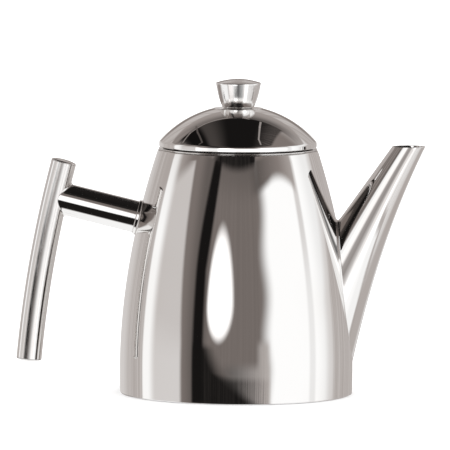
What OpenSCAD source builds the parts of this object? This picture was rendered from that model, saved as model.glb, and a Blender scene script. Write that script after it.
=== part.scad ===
// Steel teapot with a hanging infuser, a domed lid with a knob, a cone spout and a tube handle.
// Millimetres. The pot stands on z = 0 about the z axis; the spout points to +x, the handle to -x.

/* [Pot] */
// Outside radius of the pot at its base
base_r = 58.25; // [57:0.25:60]
// Height of the mouth's seat above the table
mouth_z = 121.9; // [120:0.1:123]
// Wall thickness of the drawn shell
wall = 0.8; // [0.6:0.1:1]
// Height at which the wall starts to lean inward
taper_start = 14; // [10:1:18]
// How far the radius shrinks over the first 100 mm of taper
taper_drop = 15.9; // [15:0.1:16.4]
// Bend of the taper: 1 is a straight cone
taper_power = 1.892; // [1.85:0.01:1.95]
// Bore of the mouth, radius
mouth_bore_r = 36; // [35.9:0.1:36.3]
// Depth of the turned-down collar inside the mouth
mouth_collar = 4; // [2:0.5:6]
// Recess under the base
base_recess = 3; // [2:0.5:4]

/* [Strainer holes behind the spout] */
// Radius of one strainer hole
strainer_r = 2.2; // [1.6:0.1:2.4]
// Rows of strainer holes
strainer_rows = 7; // [3:1:7]
// Height of the lowest row
strainer_z0 = 30; // [28:1:32]
// Distance between rows
strainer_pitch = 7; // [6:0.5:7]
// Angle between neighbouring holes in a row
strainer_step = 7.2; // [6.5:0.1:7.4]

/* [Spout] */
// Height of the level-cut lip
spout_lip_z = 124.2; // [120:0.1:128]
// Reach of the lip's far edge from the pot's axis
spout_reach = 93.8; // [90:0.1:96]
// Where the upper edge's line meets the table, from the pot's axis
spout_top_x0 = -10.9; // [-12:0.1:-10]
// Lean of the upper edge, sideways per height
spout_top_slope = 0.709; // [0.69:0.001:0.72]
// Where the lower edge's curve meets the table
spout_under_x0 = 54.9; // [54:0.1:56]
// Lean of the lower edge at the table
spout_under_lean0 = 0.2; // [0.18:0.01:0.22]
// Lean of the lower edge at the lip
spout_under_lean1 = 0.48; // [0.42:0.01:0.52]
// Depth over width of a level section at the lip
spout_round_lip = 0.87; // [0.82:0.01:0.92]
// Depth over width of a level section at the table
spout_round_root = 0.93; // [0.85:0.01:0.95]
// Wall of the spout
spout_wall = 0.8; // [0.6:0.1:1]

/* [Handle] */
// Outside diameter of the grip tube
grip_od = 12.7; // [12:0.1:14]
// Wall of the grip tube
grip_wall = 1; // [0.8:0.1:1.2]
// Radius of the bend of the grip
grip_bend_r = 604.7; // [560:0.1:660]
// Height of the grip tube's lower end
grip_low_z = 16.5; // [12:0.5:24]
// Height of the grip tube's upper end
grip_high_z = 114.8; // [110:0.1:120]
// Height of the domed end caps
cap_dome = 1.5; // [1:0.1:3]
// Height of the arm's oval section
arm_tall = 16; // [14:0.5:17]
// Depth of the arm's oval section
arm_deep = 12.2; // [10:0.1:12.4]
// Wall of the arm
arm_wall = 0.8; // [0.6:0.1:1.2]
// Fall of the arm towards the pot, in degrees
arm_fall = 13.6; // [12:0.1:15]
// Thickness of the collar at the pot end of the arm
collar_t = 1.3; // [1:0.1:2]
// How far the collar stands out round the arm
collar_lip = 0.65; // [0.4:0.05:1]

/* [Infuser] */
// Outside radius of the basket's collar
infuser_r = 35.5; // [35.3:0.1:35.6]
// Thickness of the basket's sheet
infuser_t = 0.6; // [0.5:0.1:0.6]
// Height of the basket's floor above the table
infuser_floor_z = 38.5; // [36:0.5:50]
// Columns of holes round the screen
screen_columns = 12; // [8:2:16]
// Rows of holes up the screen
screen_rows = 4; // [3:1:5]
// Radius of a screen hole
screen_hole_r = 3; // [2:0.1:3.2]
// Radius of a floor hole
floor_hole_r = 1.5; // [1:0.1:1.8]

/* [Lid] */
// Outside radius of the lid's rim band
lid_r = 39.4; // [39:0.1:39.8]
// Radius of the lid's dome
dome_r = 51.8; // [50:0.1:54]
// Height of the lid's straight rim band
rim_band = 1.81; // [1.2:0.01:2.5]
// Radius of the flat crown under the knob
crown_r = 12.3; // [11.5:0.1:13]
// Step of the crown above the dome
crown_step = 0.25; // [0.1:0.05:0.4]
// Dark gap between the infuser's flange and the lid's rim
lid_gap = 0.5; // [0.4:0.1:0.8]
// Depth of the skirt that centres the lid
skirt_depth = 8.8; // [6:0.1:9]

/* [Knob] */
// Radius of the knob at its foot
knob_foot_r = 6.9; // [6.5:0.1:8]
// Radius of the knob near its top
knob_top_r = 11.25; // [10:0.05:12]
// Height of the knob's flared side
knob_side_h = 12.3; // [11.5:0.1:14]
// Rise of the knob's domed top above its edge
knob_crown = 2.2; // [1:0.1:2.5]
// Radius of the screw's shank
screw_r = 2; // [1.5:0.1:2.2]

/* [Hidden] */
$fn = 120;

steel = [0.78, 0.77, 0.76];
steel_dark = [0.62, 0.61, 0.6];
steel_light = [0.86, 0.85, 0.84];
run_gap = 0.05; // clearance between stacked pieces

function arc(center_x, center_y, radius, from, to, steps) = [
    for (i = [0:steps])
        let (angle = from + (to - from) * i / steps)
            [center_x + radius * cos(angle), center_y + radius * sin(angle)]
];

// Turns a child's +z outward, at an angle round the pot
module radially(angle, x, z) {
    rotate([0, 0, angle]) translate([x, 0, z]) rotate([0, 90, 0]) children();
}

// ---- Pot ----
foot_tuck = 0.2; // how far the wall draws in below the taper
edge_r = 0.8;
pot_steps = 44;

// Outside radius of the pot at height z: near-cylindrical below the taper, then a growing lean
function pot_r(z) = base_r + 0.04 - (z < taper_start
    ? foot_tuck * pow((taper_start - z) / taper_start, 2)
    : taper_drop * pow((z - taper_start) / 100, taper_power));

function pot_z(i) = edge_r + (mouth_z - 2 * edge_r) * i / pot_steps;

pot_side = [for (i = [0:pot_steps]) [pot_r(pot_z(i)), pot_z(i)]];
mouth_r = pot_r(mouth_z) - 0.1;

// The pot as a solid, to trim the arm and its collar to the wall
module pot_envelope() {
    rotate_extrude() polygon(concat(
        [[0, 0], [pot_r(0), 0]],
        pot_side,
        [[pot_r(mouth_z), mouth_z], [0, mouth_z]]));
}

// Drawn shell: rounded foot edge, bell-shaped wall, flat seat and turned-down collar in the mouth
module body_shell() {
    foot_edge_r = 0.6 * edge_r;
    seat_z = mouth_z - wall; // underside of the seat
    collar_r = mouth_bore_r + wall;
    inner_bevel = 0.4;
    shoulder = 0.6;
    cut_start = 40;
    cut_length = 22;
    color(steel) difference() {
        rotate_extrude() polygon(concat(
            [[pot_r(0) - wall, 0]],
            arc(pot_r(edge_r) - foot_edge_r, foot_edge_r, foot_edge_r, -90, -15, 4),
            pot_side,
            arc(mouth_r - edge_r, mouth_z - edge_r, edge_r, 30, 90, 4),
            arc(mouth_bore_r + edge_r, mouth_z - edge_r, edge_r, 90, 180, 4),
            [
                [mouth_bore_r, mouth_z - mouth_collar],
                [collar_r, mouth_z - mouth_collar],
                [collar_r, seat_z - inner_bevel],
                [collar_r + inner_bevel, seat_z],
                [mouth_r - wall - shoulder, seat_z]
            ],
            [for (i = [pot_steps:-1:0])
                [pot_r(pot_z(i)) - wall, pot_z(i) - (i == pot_steps ? wall : 0)]]));
        // Rows of three and four holes alternate
        for (row = [0:strainer_rows - 1])
            let (gaps = 2 + row % 2)
                for (j = [0:gaps])
                    radially((j - gaps / 2) * strainer_step, cut_start,
                             strainer_z0 + row * strainer_pitch)
                        cylinder(r = strainer_r, h = cut_length);
    }
}

// Pressed base: flat outer ring, raised middle, skirt inside the wall
module base_plate() {
    sheet = 0.8;
    raise = 0.8;
    raised_r = 34;
    ring_r = 36.5; // inside radius of the flat ring
    slope_shift = 0.3; // the slope's top face lies this much further out
    bend_r = 1.4;
    inner_bevel = 1;
    skirt_z = 0.4;
    skirt_r = pot_r(skirt_z) - wall - 0.02;
    inner_r = skirt_r - sheet;
    top_z = base_recess + sheet;
    color(steel_dark) rotate_extrude() polygon(concat(
        [
            [0, base_recess + raise],
            [raised_r, base_recess + raise],
            [ring_r, base_recess],
            [inner_r - inner_bevel, base_recess],
            [inner_r, base_recess - inner_bevel],
            [inner_r, skirt_z],
            [skirt_r, skirt_z],
            [skirt_r, top_z - bend_r]
        ],
        arc(skirt_r - bend_r, top_z - bend_r, bend_r, 0, 90, 5),
        [
            [ring_r + slope_shift, top_z],
            [raised_r + slope_shift, top_z + raise],
            [0, top_z + raise]
        ]));
}

// ---- Spout ----
spout_sides = 96;
spout_steps = 18; // from the root to the lip
inset_x = 1.1; // inset along x per unit of wall

// Lower edge: a cubic with a set place and lean at the table and at the lip
function under_x(z) = let (t = z / spout_lip_z)
    spout_under_x0 * (2 * pow(t, 3) - 3 * t * t + 1)
    + spout_under_lean0 * spout_lip_z * (pow(t, 3) - 2 * t * t + t)
    + spout_reach * (3 * t * t - 2 * pow(t, 3))
    + spout_under_lean1 * spout_lip_z * (pow(t, 3) - t * t);
function top_x(z) = spout_top_x0 + spout_top_slope * z;

// Level section at height z: an ellipse between the two edges
function section_x(z) = (under_x(z) + top_x(z)) / 2;
function half_width(z) = (under_x(z) - top_x(z)) / 2;
function half_depth(z) = half_width(z)
    * (spout_round_root + (spout_round_lip - spout_round_root) * z / spout_lip_z);
function spout_point(z, angle, inset) = [
    section_x(z) + (half_width(z) - inset * inset_x) * cos(angle),
    (half_depth(z) - inset) * sin(angle),
    z
];

// Distance of a spout point outside the pot's wall
function spout_outside(z, angle, inset) =
    let (p = spout_point(z, angle, inset)) norm([p[0], p[1]]) - pot_r(z);

// Height at which a line up the spout meets the pot's outside, by halving the interval
function root_z(angle, inset, low = 0, high = spout_lip_z, halvings = 30) =
    let (middle = (low + high) / 2)
        halvings == 0 ? middle
        : spout_outside(middle, angle, inset) > 0
            ? root_z(angle, inset, low, middle, halvings - 1)
            : root_z(angle, inset, middle, high, halvings - 1);

// Rings of points from the root to the lip
function spout_surface(inset) =
    let (
        angles = [for (j = [0:spout_sides - 1]) 360 * j / spout_sides],
        roots = [for (angle = angles) root_z(angle, inset)]
    )
    [for (i = [0:spout_steps], j = [0:spout_sides - 1])
        spout_point(roots[j] + (spout_lip_z - roots[j]) * i / spout_steps, angles[j], inset)];

// Triangles between the rings that start at two point numbers
function band(first, second, flip) = [
    for (j = [0:spout_sides - 1], half = [0:1])
        let (
            next = (j + 1) % spout_sides,
            a = first + j,
            b = first + next,
            c = second + j,
            d = second + next
        )
        flip
            ? (half == 0 ? [a, b, c] : [b, d, c])
            : (half == 0 ? [a, c, b] : [b, c, d])
];

function surface_faces(start, flip) = [
    for (i = [0:spout_steps - 1])
        let (ring = start + i * spout_sides)
            for (face = band(ring, ring + spout_sides, flip)) face
];

// Hollow cone: the lip is cut level and the root follows the pot's wall
module spout() {
    lip = spout_steps * spout_sides;
    inner = lip + spout_sides; // number of the first inner point
    color(steel) polyhedron(
        points = concat(spout_surface(0), spout_surface(spout_wall)),
        faces = concat(
            surface_faces(0, false),
            surface_faces(inner, true),
            band(0, inner, true),
            band(lip, inner + lip, false)),
        convexity = 6);
}

// ---- Handle ----
// The grip's centre line is an arc in the XZ plane, farthest from the pot at the arc centre's height
grip_far_x = -106.05;
grip_center_x = grip_far_x + grip_bend_r;
grip_center_z = -35.78;
grip_r = grip_od / 2;
function grip_x(z) = grip_center_x - sqrt(pow(grip_bend_r, 2) - pow(z - grip_center_z, 2));
function grip_angle(z) = asin((z - grip_center_z) / grip_bend_r);

// The arm leaves the pot's wall here and rises to the grip
arm_pot_z = 87.5;
arm_pot_x = -pot_r(arm_pot_z);
arm_rise = 10.2;
arm_length = (arm_pot_x - grip_x(arm_pot_z + arm_rise)) / cos(arm_fall);

// The arm's oval section grown on all sides, tall side along x
module arm_oval(grow) {
    sides = 56;
    polygon([
        for (i = [0:sides - 1])
            let (angle = 360 * (i + 0.5) / sides)
                [(arm_tall / 2 + grow) * cos(angle), (arm_deep / 2 + grow) * sin(angle)]
    ]);
}

// Oval tube along the arm, from a depth inside the pot to a distance out from its wall
module arm_sleeve(sink, reach, outer_grow, inner_grow) {
    translate([arm_pot_x, 0, arm_pot_z]) rotate([0, -90 + arm_fall, 0])
        translate([0, 0, -sink]) linear_extrude(height = reach + sink) difference() {
            arm_oval(outer_grow);
            arm_oval(inner_grow);
        }
}

module grip_solid(r) {
    low = grip_angle(grip_low_z);
    high = grip_angle(grip_high_z);
    translate([grip_center_x, 0, grip_center_z]) rotate([90, 0, 0]) rotate([0, 0, 180 - high])
        rotate_extrude(angle = high - low, $fn = 480)
            translate([grip_bend_r, 0]) circle(r = r, $fn = 48);
}

module handle_arm() {
    color(steel) difference() {
        arm_sleeve(8, arm_length, 0, -arm_wall);
        pot_envelope();
        grip_solid(grip_r);
    }
}

// Oval ring round the arm at the pot's wall
module handle_collar() {
    color(steel_light) difference() {
        arm_sleeve(6, collar_t, collar_lip, 0.02);
        pot_envelope();
    }
}

module grip_tube() {
    color(steel) difference() {
        grip_solid(grip_r);
        grip_solid(grip_r - grip_wall);
    }
}

// Pressed plug at height z of the grip: shallow dome outside, spigot inside the tube
module grip_cap(z, turn) {
    spigot_r = grip_r - grip_wall - 0.05;
    spigot_depth = 5;
    bevel = 0.6;
    edge_h = 0.25;
    translate([grip_x(z), 0, z]) rotate([0, grip_angle(z) + turn, 0])
        rotate_extrude() polygon(concat(
            [
                [0, -spigot_depth],
                [spigot_r - bevel, -spigot_depth],
                [spigot_r, bevel - spigot_depth],
                [spigot_r, 0],
                [grip_r, 0],
                [grip_r, edge_h]
            ],
            [for (angle = [15:15:90])
                [grip_r * cos(angle), edge_h + (cap_dome - edge_h) * sin(angle)]]));
}

module grip_top_cap() {
    color(steel_light) grip_cap(grip_high_z, 0);
}

module grip_bottom_cap() {
    color(steel_light) grip_cap(grip_low_z, 180);
}

// ---- Infuser ----
flange_t = 0.8;
flange_z0 = mouth_z + run_gap;
flange_z1 = flange_z0 + flange_t;
collar_in_r = infuser_r - infuser_t;
screen_in_r = collar_in_r - 0.4;
sheet_fit = 0.01; // clearance each side of the collar's inside radius

// Flange that hangs the basket on the mouth's seat, and its collar
module infuser_rim() {
    round_r = flange_t / 2;
    flange_r = mouth_r - 0.9;
    collar_z = mouth_z - 16;
    color(steel_light) rotate_extrude() polygon(concat(
        [[collar_in_r, collar_z], [infuser_r, collar_z], [infuser_r, flange_z0]],
        arc(flange_r - round_r, flange_z0 + round_r, round_r, -90, 90, 8),
        arc(infuser_r, flange_z1 - infuser_t, infuser_t, 90, 180, 5)));
}

// Perforated sleeve: staggered rows of through holes
module infuser_screen() {
    low_z = infuser_floor_z + 0.7;
    high_z = mouth_z - 12;
    outer_r = collar_in_r - sheet_fit;
    first_row_z = low_z + 12.8;
    last_row_z = mouth_z - 23.9;
    row_pitch = (last_row_z - first_row_z) / (screen_rows - 1);
    color(steel_dark) difference() {
        rotate_extrude() polygon([
            [screen_in_r, low_z], [outer_r, low_z], [outer_r, high_z], [screen_in_r, high_z]
        ]);
        for (i = [0:screen_rows - 1], j = [0:screen_columns - 1])
            radially((j + (i % 2) / 2) * 360 / screen_columns, screen_in_r - 1,
                     first_row_z + row_pitch * i)
                cylinder(r = screen_hole_r, h = 3, $fn = 6);
    }
}

// Perforated floor with an upturned edge outside the sleeve
module infuser_floor() {
    z = infuser_floor_z;
    bend_r = 1.2;
    edge_z = z + 7;
    edge_in_r = collar_in_r + sheet_fit;
    ring_pitch = 7;
    color(steel_dark) difference() {
        rotate_extrude() polygon(concat(
            [[0, z], [infuser_r - bend_r, z]],
            arc(infuser_r - bend_r, z + bend_r, bend_r, -90, 0, 5),
            [
                [infuser_r, edge_z],
                [edge_in_r, edge_z],
                [edge_in_r, z + bend_r],
                [infuser_r - bend_r, z + infuser_t],
                [0, z + infuser_t]
            ]));
        // One hole in the middle, then rings of 6, 12, 18 and 24
        for (ring = [0:4], j = [0:max(1, 6 * ring) - 1])
            rotate([0, 0, j * 60 / max(1, ring)]) translate([ring * ring_pitch, 0, z - 1])
                cylinder(r = floor_hole_r, h = 3, $fn = 6);
    }
}

// ---- Lid ----
skirt_z0 = flange_z1 + run_gap;
lid_z = skirt_z0 + lid_gap;
dome_t = 0.8;
rim_bend_r = 2; // bend from the rim band into the dome
rim_bend_x = lid_r - rim_bend_r;
rim_bend_z = lid_z + rim_band;
dome_center_z = rim_bend_z - sqrt(pow(dome_r - rim_bend_r, 2) - pow(rim_bend_x, 2));
crown_z = dome_center_z + sqrt(pow(dome_r, 2) - pow(crown_r, 2)) + crown_step;

// Dome with a flat crown, a straight rim band and a turned-in hem
module lid_dome() {
    hem_r = 35.6;
    edge_round = 0.5;
    bore_r = screw_r + 0.2;
    rim_angle = atan2(rim_bend_z - dome_center_z, rim_bend_x);
    crown_angle = acos(crown_r / dome_r);
    inner_angle = acos((crown_r - 0.5) / (dome_r - dome_t));
    color(steel) rotate_extrude() polygon(concat(
        [[hem_r, lid_z]],
        arc(lid_r - edge_round, lid_z + edge_round, edge_round, -90, 0, 4),
        arc(rim_bend_x, rim_bend_z, rim_bend_r, 0, rim_angle, 5),
        arc(0, dome_center_z, dome_r, rim_angle, crown_angle, 18),
        [
            [crown_r - 0.08, crown_z],
            [bore_r, crown_z],
            [bore_r, crown_z - dome_t],
            [crown_r - 1.1, crown_z - dome_t]
        ],
        arc(0, dome_center_z, dome_r - dome_t, inner_angle, rim_angle, 18),
        arc(rim_bend_x, rim_bend_z, rim_bend_r - dome_t, rim_angle, 0, 4),
        [[lid_r - dome_t, lid_z + dome_t], [hem_r, lid_z + dome_t]]));
}

// Flanged ring: the flange rests on the infuser's rim, the skirt centres the lid
module lid_skirt() {
    sheet = 0.6;
    outer_r = collar_in_r - 0.4;
    flange_r = 38;
    low_z = skirt_z0 - skirt_depth;
    color(steel_dark) rotate_extrude() polygon(concat(
        [
            [outer_r - sheet, low_z],
            [outer_r, low_z],
            [outer_r, skirt_z0],
            [flange_r, skirt_z0],
            [flange_r, lid_z]
        ],
        arc(outer_r, lid_z - sheet, sheet, 90, 180, 5)));
}

// ---- Knob ----
washer_t = 0.8;
washer_z = crown_z - dome_t - washer_t;

// Turned knob: flared side, small top edge, shallow domed top, blind hole from below
module knob() {
    side_steps = 14;
    spacing_power = 1.6; // crowds the side's points towards the foot
    flare_power = 0.51;
    edge = 0.5;
    top_z = crown_z + knob_side_h;
    color(steel_light) difference() {
        rotate_extrude() polygon(concat(
            [[0, crown_z]],
            [for (i = [0:side_steps])
                let (t = pow(i / side_steps, spacing_power))
                    [knob_foot_r + (knob_top_r - knob_foot_r) * pow(t, flare_power),
                     crown_z + knob_side_h * t]],
            arc(knob_top_r - edge, top_z + 0.05, edge, 10, 70, 3),
            [for (i = [9:-1:0])
                let (q = i / 10)
                    [(knob_top_r - 0.4) * q, top_z + edge + (knob_crown - edge) * (1 - q * q)]]));
        translate([0, 0, crown_z - 1]) cylinder(r = screw_r + 0.05, h = 10);
    }
}

module knob_washer() {
    color(steel_dark) translate([0, 0, washer_z]) difference() {
        cylinder(r = 5, h = washer_t);
        translate([0, 0, -1]) cylinder(r = screw_r + 0.2, h = 3);
    }
}

// Pan-head screw with a cross recess, head down
module knob_screw() {
    head_r = 4;
    head_z = washer_z - 2.4;
    head_round = 1.2;
    tip_z = crown_z + 8.5;
    tip_bevel = 0.5;
    slot = [4.2, 0.9, 2];
    color(steel_dark) difference() {
        rotate_extrude() polygon(concat(
            [[0, head_z], [head_r - head_round, head_z]],
            arc(head_r - head_round, head_z + head_round, head_round, -90, 0, 5),
            [
                [head_r, washer_z],
                [screw_r, washer_z],
                [screw_r, tip_z - tip_bevel],
                [screw_r - tip_bevel, tip_z],
                [0, tip_z]
            ]));
        for (angle = [0, 90])
            rotate([0, 0, angle]) translate([-slot[0] / 2, -slot[1] / 2, washer_z - 3]) cube(slot);
    }
}

body_shell();
base_plate();
spout();
handle_collar();
handle_arm();
grip_tube();
grip_top_cap();
grip_bottom_cap();
infuser_rim();
infuser_screen();
infuser_floor();
lid_dome();
lid_skirt();
knob();
knob_washer();
knob_screw();
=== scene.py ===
# A polished stainless steel teapot with a straight spout, a bar handle, a domed lid with a knob
# and a perforated basket inside. The pot's axis is Z and its foot stands at z = 0. The spout
# points to +X, the handle to -X, and the camera looks from -Y. Shapes are worked out in mm.

import bmesh
import bpy
import math
import numpy as np
from mathutils import Matrix, Vector

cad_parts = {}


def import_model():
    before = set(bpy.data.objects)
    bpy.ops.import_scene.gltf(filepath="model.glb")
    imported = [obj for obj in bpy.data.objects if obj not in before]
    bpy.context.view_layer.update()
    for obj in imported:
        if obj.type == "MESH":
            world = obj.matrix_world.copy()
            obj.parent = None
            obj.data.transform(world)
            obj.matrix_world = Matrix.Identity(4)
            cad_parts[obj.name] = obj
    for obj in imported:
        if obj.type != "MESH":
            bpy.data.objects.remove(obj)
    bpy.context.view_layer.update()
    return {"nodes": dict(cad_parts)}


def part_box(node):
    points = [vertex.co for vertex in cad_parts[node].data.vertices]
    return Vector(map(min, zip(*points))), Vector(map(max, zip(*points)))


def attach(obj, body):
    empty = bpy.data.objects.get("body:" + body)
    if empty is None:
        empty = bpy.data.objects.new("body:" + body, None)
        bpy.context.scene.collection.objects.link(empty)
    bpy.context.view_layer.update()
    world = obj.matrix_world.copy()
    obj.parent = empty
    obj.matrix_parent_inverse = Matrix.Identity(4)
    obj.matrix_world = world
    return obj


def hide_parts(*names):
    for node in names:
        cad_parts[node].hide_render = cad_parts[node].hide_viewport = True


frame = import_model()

MM = 0.001
scene = bpy.context.scene

# ---------------------------------------------------------------- main sizes, mm


def extents(node):
    """Bottom, top and farthest +X of a CAD piece, in mm."""
    lo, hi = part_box(node)
    return lo[2] * 1000.0, hi[2] * 1000.0, hi[0] * 1000.0


_, MOUTH_Z, POT_R = extents("body_shell")
LID_Z, CROWN_Z, LID_R = extents("lid_dome")
KNOB_Z, KNOB_TOP, _ = extents("knob")
_, LIP_Z, SPOUT_X = extents("spout")
RIM_Z, RIM_TOP, _ = extents("infuser_rim")
SCREEN_Z, SCREEN_TOP, SCREEN_R = extents("infuser_screen")
FLOOR_Z, FLOOR_TOP, FLOOR_R = extents("infuser_floor")
SKIRT_Z, SKIRT_TOP, SKIRT_R = extents("lid_skirt")
_, BASE_TOP, _ = extents("base_plate")

SHEET = 0.8       # thickness of the sheet
FOOT_DRAW = 0.2   # the wall draws in by this at the very foot
TAPER_Z = 14.0    # the wall is widest here and tapers above
TAPER_DROP = 15.9  # radius lost 100 mm above TAPER_Z
TAPER_POWER = 1.892
MOUTH_BORE = 36.0
SINK = 0.988 - 0.976  # welded edges lie this far under the surface they meet


def pot_r(z):
    """Outside radius of the pot at height z."""
    z = np.asarray(z, float)
    low = POT_R - FOOT_DRAW * ((TAPER_Z - z) / TAPER_Z) ** 2
    high = POT_R - TAPER_DROP * (np.clip(z - TAPER_Z, 0, None) / 100.0) ** TAPER_POWER
    return np.where(z < TAPER_Z, low, high)


MOUTH_R = float(pot_r(MOUTH_Z))

# ---------------------------------------------------------------- mesh helpers


def link_new(name, data):
    obj = bpy.data.objects.new(name, data)
    scene.collection.objects.link(obj)
    return obj


def finish_mesh(mesh, sharp):
    """Smooth shading, with edges sharper than sharp degrees kept."""
    mesh.polygons.foreach_set("use_smooth", [True] * len(mesh.polygons))
    mesh.set_sharp_from_angle(angle=math.radians(sharp))
    mesh.update()


def evaluated_mesh(obj):
    bpy.context.view_layer.update()
    graph = bpy.context.evaluated_depsgraph_get()
    return bpy.data.meshes.new_from_object(obj.evaluated_get(graph))


def add_object(name, verts, faces, sharp):
    """An object from points in mm, with its faces turned outward."""
    mesh = bpy.data.meshes.new(name)
    mesh.from_pydata([tuple(float(c) * MM for c in v) for v in verts], [], faces)
    work = bmesh.new()
    work.from_mesh(mesh)
    bmesh.ops.remove_doubles(work, verts=work.verts, dist=1e-7)
    if work.calc_volume(signed=True) < 0:
        bmesh.ops.reverse_faces(work, faces=work.faces)
    work.to_mesh(mesh)
    work.free()
    finish_mesh(mesh, sharp)
    return link_new(name, mesh)


def corner(prev, here, following, radius):
    """Points of a rounded corner, with a holding point just outside each end of the arc."""
    hold = 0.05
    here = np.array(here, float)
    back, ahead = np.array(prev, float) - here, np.array(following, float) - here
    back_len, ahead_len = np.linalg.norm(back), np.linalg.norm(ahead)
    back, ahead = back / back_len, ahead / ahead_len
    angle = math.acos(max(-1.0, min(1.0, float(back @ ahead))))
    if angle > math.pi - 1e-3:
        return [tuple(here)]
    cut = min(radius / math.tan(angle / 2), 0.48 * back_len, 0.48 * ahead_len)
    radius = cut * math.tan(angle / 2)
    middle = back + ahead
    centre = here + middle / np.linalg.norm(middle) * (radius / math.sin(angle / 2))
    start, end = here + back * cut - centre, here + ahead * cut - centre
    sweep = math.pi - angle
    count = max(3, int(math.degrees(sweep) / 8))
    out = []
    if back_len > cut + 3 * hold:
        out.append(here + back * (cut + hold))
    for i in range(count + 1):
        part = i / count
        from_start = start * math.sin((1 - part) * sweep) / math.sin(sweep)
        out.append(centre + (from_start + end * math.sin(part * sweep) / math.sin(sweep)))
    if ahead_len > cut + 3 * hold:
        out.append(here + ahead * (cut + hold))
    return [tuple(v) for v in out]


def rounded(points, closed=True, step=3.0):
    """Rounds a profile of (radius, z) or (radius, z, corner radius) points and divides its
    straights into lengths of at most step."""
    count = len(points)
    out = []
    for i, point in enumerate(points):
        if len(point) > 2 and point[2] > 0 and (closed or 0 < i < count - 1):
            out += corner(points[i - 1][:2], point[:2], points[(i + 1) % count][:2], point[2])
        else:
            out.append((float(point[0]), float(point[1])))
    full = []
    count = len(out)
    for i in range(count if closed else count - 1):
        start, end = np.array(out[i]), np.array(out[(i + 1) % count])
        length = np.linalg.norm(end - start)
        if length < 1e-4:
            continue
        parts = max(1, int(math.ceil(length / step)))
        full += [tuple(start + (end - start) * j / parts) for j in range(parts)]
    if not closed:
        full.append(tuple(out[-1]))
    return full


def arc(centre_r, centre_z, radius, angles):
    """Profile points on an arc, at angles in radians above the horizontal."""
    return [(centre_r + radius * math.cos(t), centre_z + radius * math.sin(t)) for t in angles]


def grid_faces(rows, count, closed):
    """Quads between rings of count points. A closed grid joins its last ring to its first."""
    faces = []
    for i in range(rows if closed else rows - 1):
        k = (i + 1) % rows
        for j in range(count):
            l = (j + 1) % count
            faces.append((i * count + j, i * count + l, k * count + l, k * count + j))
    return faces


def circle_angles(count):
    return np.arange(count) * 2 * math.pi / count


def revolve(name, profile, count=192, sharp=32.0):
    """Turns a profile about Z. A profile that starts and ends on the axis closes at two poles."""
    poles = profile[0][0] < 1e-6
    rings = profile[1:-1] if poles else profile
    angles = circle_angles(count)
    turns = list(zip(np.cos(angles), np.sin(angles)))
    verts = [(r * c, r * s, z) for r, z in rings for c, s in turns]
    faces = grid_faces(len(rings), count, closed=not poles)
    if poles:
        first, last = len(verts), len(verts) + 1
        verts += [(0, 0, profile[0][1]), (0, 0, profile[-1][1])]
        end_row = (len(rings) - 1) * count
        for j in range(count):
            l = (j + 1) % count
            faces.append((first, l, j))
            faces.append((last, end_row + j, end_row + l))
    return add_object(name, verts, faces, sharp)


def loop_grid(name, rows):
    """A solid from rows of points, closed both ways."""
    rows = np.asarray(rows, float)
    faces = grid_faces(*rows.shape[:2], closed=True)
    return add_object(name, rows.reshape(-1, 3), faces, 32.0)


def unit(v):
    return v / np.maximum(np.linalg.norm(v, axis=-1, keepdims=True), 1e-12)


def bezier(start, pull, end, t):
    return (1 - t) ** 2 * start + 2 * (1 - t) * t * pull + t * t * end


def bisect(func, low, high):
    """Root of a rising vector function between arrays low and high."""
    for _ in range(48):
        middle = (low + high) / 2
        positive = func(middle) > 0
        high = np.where(positive, middle, high)
        low = np.where(positive, low, middle)
    return (low + high) / 2


def pot_gap(points):
    """Distance of points outside the pot's wall, level with them."""
    return np.hypot(points[:, 0], points[:, 1]) - pot_r(points[:, 2])


def pot_normal(points):
    r = np.hypot(points[:, 0], points[:, 1])
    slope = (pot_r(points[:, 2] + 0.01) - pot_r(points[:, 2] - 0.01)) / 0.02
    return unit(np.stack([points[:, 0] / r, points[:, 1] / r, -slope], 1))


def pot_snap(points):
    """Moves points level to the pot's wall, just under its surface."""
    k = (pot_r(points[:, 2]) - SINK) / np.hypot(points[:, 0], points[:, 1])
    return np.stack([points[:, 0] * k, points[:, 1] * k, points[:, 2]], 1)


def away(joint, normal):
    """Direction in the base surface, square to a closed joint line, leading out of the loop."""
    tangent = unit(np.roll(joint, -1, 0) - np.roll(joint, 1, 0))
    out = unit(np.cross(normal, tangent))
    sign = np.sign(np.sum(out * (joint - joint.mean(0)), 1))
    return out * sign[:, None]


def fillet_reach(leaving, outward, size, shortest, longest, passes):
    """How far a fillet runs from the joint, smoothed round it."""
    opening = np.arccos(np.clip(np.sum(leaving * outward, 1), -1, 1))
    reach = np.clip(size / np.tan(opening / 2), shortest, longest)
    for _ in range(passes):
        reach = (np.roll(reach, 1) + 2 * reach + np.roll(reach, -1)) / 4
    return reach


# ---------------------------------------------------------------- pot shell and base

# strainer holes behind the spout: rows of 3 and 4 in turn
STRAINER_ROWS, STRAINER_Z, STRAINER_PITCH = 7, 30, 7
STRAINER_TURN = 7.2  # degrees between holes in a row
STRAINER_R = 2.2
CUTTER_X, CUTTER_LENGTH = 51, 22


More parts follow.
